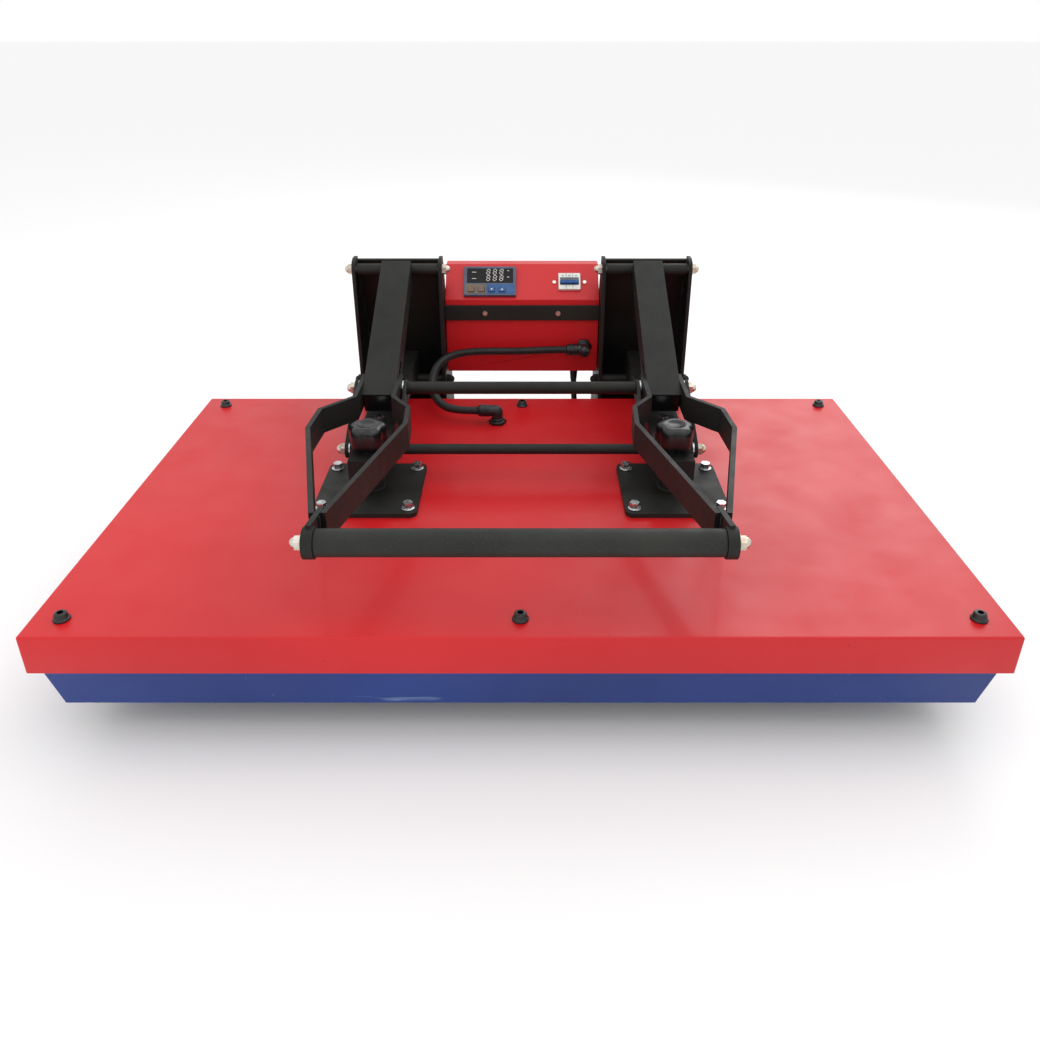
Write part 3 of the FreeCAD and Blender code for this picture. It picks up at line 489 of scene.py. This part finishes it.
def coil_route():
    """Wide turn on top, tight turns inside it on both layers, then a wide turn on the table."""
    points = []
    for step in range(1, int(COIL_TURNS * STEPS_A_TURN) + 1):
        turn = step / STEPS_A_TURN
        radius = eased(turn, 0.75, 0.95, WIDE_TURN, TIGHT_TURN)
        if turn > 2.5:
            radius = eased(turn, 2.5, 2.7, TIGHT_TURN, WIDE_TURN)
        height = eased(turn, 1.72, 1.95, UPPER_LAYER, LOWER_LAYER)
        angle = TAU * turn
        points.append((COIL_MIDDLE[0] + radius * math.cos(angle), COIL_MIDDLE[1] + radius * math.sin(angle),
                       height))
    return points


TAIL_ROUTE = [(0.027, 0.5165, 0.0060), (0.016, 0.5182, 0.0076), (0.008, 0.5190, 0.0090),
              (0.000, 0.5190, 0.0095)]


def mains_cord():
    curve = spline_line("mains_lead", CORD_ROUTE + coil_route() + TAIL_ROUTE)
    curve.bevel_depth = CORD_RADIUS
    curve.bevel_resolution = 5
    curve.materials.append(FINISHES["cable_black"].material)
    lead = bpy.data.objects.new("mains_lead", curve)
    scene.collection.objects.link(lead)
    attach(lead, "base")
    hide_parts("mains_cord", "cord_coil")
    return lead


def mains_plug():
    """A moulded two-pin plug: ribbed relief, waisted body with finger ridges, and round pins."""
    spot = axis_spot((0.014, 0.519, 0.0095), (-1, 0, 0))
    relief = [(0.0053, 0.0)]
    for rib in range(6):
        start = 0.002 + rib * 0.0034
        swell = 0.0062 + rib * 0.0004
        relief += [(swell - 0.0008, start), (swell, start + 0.0006), (swell, start + 0.0018),
                   (swell - 0.0008, start + 0.0024)]
    relief += [(0.0085, 0.0225), (0.0088, 0.026)]
    rings = []
    outline = [(0.008, 0.024), (0.0104, 0.026), (0.0108, 0.030), (0.0096, 0.036), (0.0102, 0.042),
               (0.0110, 0.048), (0.0110, 0.0545), (0.0100, 0.0560)]
    for half, along in outline:
        ring = []
        for i in range(32):
            angle = TAU * i / 32
            c, s = math.cos(angle), math.sin(angle)
            squarish = (abs(c) ** 3 + abs(s) ** 3) ** (-1 / 3)
            ring.append(spot @ Vector((half * c * squarish, half * 0.83 * s * squarish, along)))
        rings.append(ring)
    body = joined([turned(relief, 24, spot), rings_mesh(rings)])
    plug = add_piece("plug_body", mesh_of("plug_body", *body), FINISHES["black_plastic"], "base",
                     ("mains_plug",))
    pins = []
    for side in (-0.0085, 0.0085):
        pin_spot = axis_spot((-0.0415, 0.519 + side, 0.0095), (-1, 0, 0))
        pins.append(turned([(0.0024, 0), (0.0024, 0.0165), (0.0019, 0.0182), (0.0008, 0.0188)], 20,
                           pin_spot))
    pins_piece = add_piece("plug_pins", mesh_of("plug_pins", *joined(pins)), FINISHES["bright_steel"],
                           "base")
    return [plug, pins_piece]


lead = mains_cord()
mains_plug()


# ---------------------------------------------------------------- corrugated conduit and its elbows
CONDUIT_ROUTE = [(0.080, 0.261, 0.220), (0.046, 0.261, 0.220), (0.010, 0.260, 0.218), (-0.034, 0.259, 0.218),
                 (-0.080, 0.256, 0.219), (-0.116, 0.245, 0.217), (-0.136, 0.221, 0.211),
                 (-0.144, 0.192, 0.199), (-0.142, 0.163, 0.186), (-0.128, 0.136, 0.175),
                 (-0.104, 0.120, 0.171), (-0.064, 0.120, 0.171)]
RIB_STEP = 0.0009


def conduit():
    """Corrugated tube: each rib is a crest of two rings and a valley of two."""
    points = evenly(line_points("conduit_line", CONDUIT_ROUTE), RIB_STEP)
    crest, valley = 0.0065, 0.0056
    rings = tube_rings(points, lambda i: crest if i % 4 in (0, 1) else valley, 18)
    tube = add_piece("conduit_tube", mesh_of("conduit_tube", *rings_mesh(rings)), FINISHES["cable_black"],
                     None, ("conduit",))
    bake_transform(tube)


def elbow(name, corner, flange_at, flange_way, tube_way, flange_long, tube_long, body, node):
    """A right-angle conduit fitting: hexagon nut at the wall, bent neck, and a ribbed clamp sleeve."""
    nut_spot = axis_spot(flange_at, flange_way)
    nut = turned([(0.0125, 0), (0.0138, 0.0006), (0.0138, 0.0050), (0.0125, 0.0058)], 6, nut_spot)
    collar = turned([(0.0100, 0.0052), (0.0100, 0.0084), (0.0090, 0.0092)], 28, nut_spot)
    start = Vector(corner) - Vector(flange_way) * flange_long
    bend = [start, Vector(corner) - Vector(flange_way) * 0.006, Vector(corner),
            Vector(corner) + Vector(tube_way) * 0.006, Vector(corner) + Vector(tube_way) * (tube_long * 0.6)]
    neck_points = line_points(name + "_line", [tuple(p) for p in bend])
    neck = rings_mesh(tube_rings(neck_points, lambda i: 0.0086, 24))
    sleeve_spot = axis_spot(Vector(corner) + Vector(tube_way) * (tube_long * 0.36), tube_way)
    reach = tube_long * 0.64
    profile = [(0.0080, 0.0), (0.0095, 0.0010), (0.0095, 0.0030)]
    for rib in range(4):
        base = 0.0034 + rib * (reach - 0.006) / 4
        profile += [(0.0090, base), (0.0098, base + 0.0006), (0.0098, base + 0.0018),
                    (0.0090, base + 0.0026)]
    profile += [(0.0093, reach - 0.0016), (0.0070, reach)]
    sleeve = turned(profile, 28, sleeve_spot)
    add_piece(name, mesh_of(name, *joined([nut, collar, neck, sleeve])), FINISHES["black_plastic"], body,
              (node,))


conduit()
elbow("box_elbow", (0.103, 0.261, 0.220), (0.103, 0.279, 0.220), (0, -1, 0), (-1, 0, 0), -0.013, 0.030,
      "base", "elbow_box_end")
elbow("cover_elbow", (-0.038, 0.120, 0.171), (-0.038, 0.120, 0.150), (0, 0, 1), (-1, 0, 0), 0.016, 0.030,
      "platen", "elbow_cover_end")


def cord_gland():
    """Nylon gland under the box: lock nut, dome nut and a tapered, ribbed kink guard."""
    spot = axis_spot((0.090, 0.322, 0.175), (0, 0, -1))
    nut = turned([(0.0100, 0), (0.0110, 0.0006), (0.0110, 0.0044), (0.0100, 0.0050)], 6, spot)
    dome = turned([(0.0090, 0.0048), (0.0092, 0.0090), (0.0080, 0.0125), (0.0072, 0.0135)], 28, spot)
    guard = [(0.0071, 0.0130)]
    for rib in range(5):
        start = 0.0145 + rib * 0.0034
        swell = 0.0070 - rib * 0.0003
        guard += [(swell, start), (swell, start + 0.0016), (swell - 0.0008, start + 0.0022),
                  (swell - 0.0008, start + 0.0030)]
    guard += [(0.0053, 0.0325)]
    add_piece("gland", mesh_of("gland", *joined([nut, dome, turned(guard, 28, spot)])),
              FINISHES["black_plastic"], "base", ("cord_gland",))


cord_gland()


# ---------------------------------------------------------------- folded sheet cover with a return lip
def folded_cover():
    """Top sheet with rounded folds, skirts, and a narrow lip turned in along the bottom."""
    low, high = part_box("platen_cover")
    bm = bmesh.new()
    middle = (low + high) / 2
    span = high - low
    bmesh.ops.create_cube(bm, size=1, matrix=Matrix.Translation(middle) @ Matrix.Diagonal((*span, 1)))
    bottom = [f for f in bm.faces if f.normal.z < -0.5]
    bmesh.ops.delete(bm, geom=bottom, context="FACES_ONLY")
    folds = [e for e in bm.edges if not e.is_boundary]
    bmesh.ops.bevel(bm, geom=folds, offset=0.0026, segments=4, profile=0.5, affect="EDGES")
    rim = [e for e in bm.edges if e.is_boundary]
    made = bmesh.ops.extrude_edge_only(bm, edges=rim)["geom"]
    for vert in [g for g in made if isinstance(g, bmesh.types.BMVert)]:
        vert.co.x -= math.copysign(0.009, vert.co.x - middle.x)
        vert.co.y -= math.copysign(0.009, vert.co.y - middle.y)
    bmesh.ops.recalc_face_normals(bm, faces=bm.faces)
    mesh = bpy.data.meshes.new("folded_cover")
    bm.to_mesh(mesh)
    bm.free()
    cover = add_piece("folded_cover", mesh, FINISHES["red_paint"], "platen", ("platen_cover",))
    sheet = cover.modifiers.new("sheet", "SOLIDIFY")
    sheet.thickness = 0.0014
    sheet.offset = -1
    shade = cover.modifiers.new("shade", "WEIGHTED_NORMAL")
    shade.keep_sharp = False


folded_cover()


# ---------------------------------------------------------------- caps, knobs, washers
def cover_caps():
    """Socket-head plugs: wide flange, domed head and a hexagon recess."""
    profile = [(0.0088, 0), (0.0090, 0.0006), (0.0090, 0.0016), (0.0080, 0.0026), (0.0072, 0.0030),
               (0.0070, 0.0068), (0.0062, 0.0084), (0.0050, 0.0089), (0.0036, 0.0089)]
    shapes = []
    for x in (-0.481, 0, 0.481):
        for y in (-0.378, 0.188):
            spot = Matrix.Translation((x, y, COVER_TOP))
            shapes.append(turned(profile, 28, spot))
            shapes.append(turned([(0.0036, 0.0089), (0.0034, 0.0089), (0.0030, 0.0052)], 6, spot))
    add_piece("cover_plugs", mesh_of("cover_plugs", *joined(shapes)), FINISHES["black_plastic"], "platen",
              ("cover_caps",))


def star_knob(word):
    """Five-lobed hand knob with rolled edges and a dished top."""
    low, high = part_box(f"star_knob_{word}")
    middle = (low + high) / 2
    spot = Matrix.Translation((middle.x, KNOB_Y, low.z))
    tall = high.z - low.z
    profile = [(0.0100, 0), (0.0160, 0.0004), (0.0215, 0.0026), (0.0248, 0.0062), (0.0258, 0.0110),
               (0.0260, tall - 0.0100), (0.0250, tall - 0.0052), (0.0222, tall - 0.0018),
               (0.0180, tall - 0.0004),
               (0.0140, tall), (0.0112, tall - 0.0006), (0.0092, tall - 0.0022), (0.0040, tall - 0.0026)]

    def lobes(radius, angle):
        depth = 0.16 * min(1.0, max(0.0, (radius - 0.011) / 0.012))
        return radius * (1 - depth * (0.5 - 0.5 * math.cos(5 * (angle - math.radians(18)))) ** 1.4)

    add_piece(f"knob_moulding_{word}", mesh_of(f"knob_{word}", *turned(profile, 90, spot, lobes)),
              FINISHES["black_plastic"], f"knob_{word}", (f"star_knob_{word}",))


def bolt_washers():
    """Flat washers under the base-plate bolt heads."""
    shapes = []
    for side in (-1, 1):
        for i in (-0.055, 0.055):
            for j in (-0.155, -0.045):
                spot = Matrix.Translation((side * ARM_X + i, j, PLATE_SEAT))
                shapes.append(turned([(0.0082, 0), (0.0086, 0.0004), (0.0086, 0.0011), (0.0081, 0.0015)], 28,
                                     spot))
    add_piece("bolt_washers", mesh_of("bolt_washers", *joined(shapes)), FINISHES["bright_steel"], "platen")


cover_caps()
for word in ("left", "right"):
    star_knob(word)
bolt_washers()


# ---------------------------------------------------------------- weld beads
def bead(points, radius):
    """A weld bead: a tube along a line whose radius swells and dips with each puddle."""
    line = evenly([Vector(p) for p in points], 0.0011)
    rings = tube_rings(line, lambda i: radius * (1 + 0.16 * math.sin(i * 2.1) + 0.06 * math.sin(i * 5.3)), 8)
    return rings_mesh(rings)


def circle(middle, radius, count=48):
    return [(middle[0] + radius * math.cos(TAU * i / count), middle[1] + radius * math.sin(TAU * i / count),
             middle[2]) for i in range(count + 1)]


def weld_beads():
    platen_beads = []
    base_beads = []
    handle_beads = []
    for side in (-1, 1):
        x = side * ARM_X
        platen_beads.append(bead(circle((x, KNOB_Y, PLATE_SEAT + 0.0005), 0.0172), 0.0016))
        for edge in (-0.0715, 0.0715):
            for y in (0.270, 0.330):
                base_beads.append(bead([(x + edge, y, 0.0525), (x + edge, y + 0.038, 0.0525)], 0.0018))
        for edge in (-0.0036, 0.0036):
            handle_beads.append(bead([(side * 0.2108 + edge, -0.3465, 0.226),
                                      (side * 0.2108 + edge, -0.3465, 0.256)], 0.0014))
    for name, body, shapes in (("welds_platen", "platen", platen_beads), ("welds_base", "base", base_beads),
                               ("welds_handle", "handle_frame", handle_beads)):
        add_piece(name, mesh_of(name, *joined(shapes)), weld_metal, body)


weld_beads()

# ---------------------------------------------------------------- control panel details
PANEL_SLOPE = math.atan2(0.047, 0.048)
PANEL_ALONG = 0.032


def panel_spot(x):
    """Panel frame: +X right, +Y up the sloping face, +Z out of it."""
    at = (x, 0.279 + PANEL_ALONG * math.cos(PANEL_SLOPE), 0.300 + PANEL_ALONG * math.sin(PANEL_SLOPE))
    return Matrix.Translation(at) @ Matrix.Rotation(PANEL_SLOPE, 4, "X")


def digit_segments(at_x, at_y, tall, lit):
    """Seven-segment digit: each lit bar is a six-sided prism with pointed ends."""
    wide = tall * 0.52
    thick = tall * 0.11
    ends = {"a": ((0, 1), (1, 1)), "b": ((1, 1), (1, 0.5)), "c": ((1, 0.5), (1, 0)), "d": ((0, 0), (1, 0)),
            "e": ((0, 0), (0, 0.5)), "f": ((0, 0.5), (0, 1)), "g": ((0, 0.5), (1, 0.5))}
    shapes = []
    spot = panel_spot(CONTROLLER_X)
    lean = 0.12
    for key in lit:
        (u1, v1), (u2, v2) = ends[key]
        first = Vector((at_x + u1 * wide + lean * v1 * tall, at_y + v1 * tall, 0))
        last = Vector((at_x + u2 * wide + lean * v2 * tall, at_y + v2 * tall, 0))
        along = (last - first).normalized()
        across = Vector((-along.y, along.x, 0))
        gap = along * thick * 0.62
        point = along * thick * 0.5
        half = across * thick * 0.5
        ring = [first + gap, first + gap + point + half, last - gap - point + half,
                last - gap, last - gap - point - half, first + gap + point - half]
        shapes.append(rings_mesh([[spot @ Vector((p.x, p.y, DIGIT_LOW)) for p in reversed(ring)],
                                  [spot @ Vector((p.x, p.y, DIGIT_HIGH)) for p in reversed(ring)]]))
    return shapes


def display_digits():
    shapes = []
    for row_y in (0.0003, 0.0123):
        for column in range(3):
            shapes += digit_segments(-0.006 + column * 0.0108, row_y, 0.0096, "abcdefg")
        shapes.append(block((0.0285, row_y + 0.0062, DIGIT_LOW), (0.0315, row_y + 0.0074, DIGIT_HIGH),
                            panel_spot(CONTROLLER_X)))
        shapes.append(block((-0.030, row_y + 0.0035, DIGIT_LOW), (-0.023, row_y + 0.0045, DIGIT_HIGH),
                            panel_spot(CONTROLLER_X)))
    add_piece("display_digits", mesh_of("display_digits", *joined(shapes)), segment_ink, "base",
              smooth=False)


KEY_X = {"set": -0.031, "shift": -0.014, "down": 0.003, "up": 0.020}


def key_strip(name, x_low, x_high, finish):
    """A printed plate round the keys, with a window for each key."""
    y_low, y_high = -0.0242, -0.0066
    holes = [(x - 0.0056, x + 0.0056, -0.0216, -0.0124) for x in KEY_X.values() if x_low < x < x_high]
    xs = sorted({x_low, x_high, *[h[0] for h in holes], *[h[1] for h in holes]})
    ys = sorted({y_low, y_high, -0.0216, -0.0124})
    spot = panel_spot(CONTROLLER_X)
    shapes = []
    for x1, x2 in zip(xs, xs[1:]):
        for y1, y2 in zip(ys, ys[1:]):
            middle = ((x1 + x2) / 2, (y1 + y2) / 2)
            if not any(h[0] < middle[0] < h[1] and h[2] < middle[1] < h[3] for h in holes):
                shapes.append(block((x1, y1, 0.0059), (x2, y2, 0.0063), spot))
    add_piece(name, mesh_of(name, *joined(shapes)), finish, "base", smooth=False)


def key_arrows():
    """A small raised triangle on the two arrow keys."""
    spot = panel_spot(CONTROLLER_X)
    for name, body, way in (("down", "key_down", -1), ("up", "key_up", 1)):
        middle_x, middle_y = KEY_X[name], -0.017
        ring = [(middle_x - 0.0019 * way, middle_y - 0.0013 * way), (middle_x + 0.0019 * way,
                middle_y - 0.0013 * way), (middle_x, middle_y + 0.0019 * way)]
        shape = rings_mesh([[spot @ Vector((x, y, 0.0080)) for x, y in ring],
                            [spot @ Vector((x, y, 0.0082)) for x, y in ring]])
        add_piece(f"arrow_{name}", mesh_of(f"arrow_{name}", *shape), arrow_ink, body,
                  smooth=False)


def breaker_grooves():
    """Painted shade: grey strips for the shade in the seams between the breaker's three poles, and a small
    window above each toggle in the same grey.
    """
    spot = panel_spot(BREAKER_X)
    shapes = []
    for x in (-0.0055, 0.0055):
        for y1, y2 in ((0.0076, 0.0142), (-0.0142, -0.0076)):
            shapes.append(block((x - 0.0003, y1, 0.0049), (x + 0.0003, y2, 0.00515), spot))
    for x in (-0.011, 0, 0.011):
        shapes.append(block((x - 0.0016, 0.0092, 0.0049), (x + 0.0016, 0.0106, 0.00515), spot))
    add_piece("breaker_seams", mesh_of("breaker_seams", *joined(shapes)), painted_groove_shade, "base",
              smooth=False)


display_digits()
key_strip("strip_brown", -0.0400, -0.0062, brown_key)
key_strip("strip_blue", -0.0056, 0.0400, FINISHES["button_plastic"])
key_arrows()
breaker_grooves()


# ---------------------------------------------------------------- floor
def make_floor():
    half = 30
    mesh = mesh_of("floor", [(-half, -half, 0), (half, -half, 0), (half, half, 0), (-half, half, 0)],
                   [(0, 1, 2, 3)])
    floor = bpy.data.objects.new("floor", mesh)
    finish = Finish("pale_floor", (0.93, 0.93, 0.93), 0.7, specular=0.2)
    mesh.materials.append(finish.material)
    scene.collection.objects.link(floor)


make_floor()
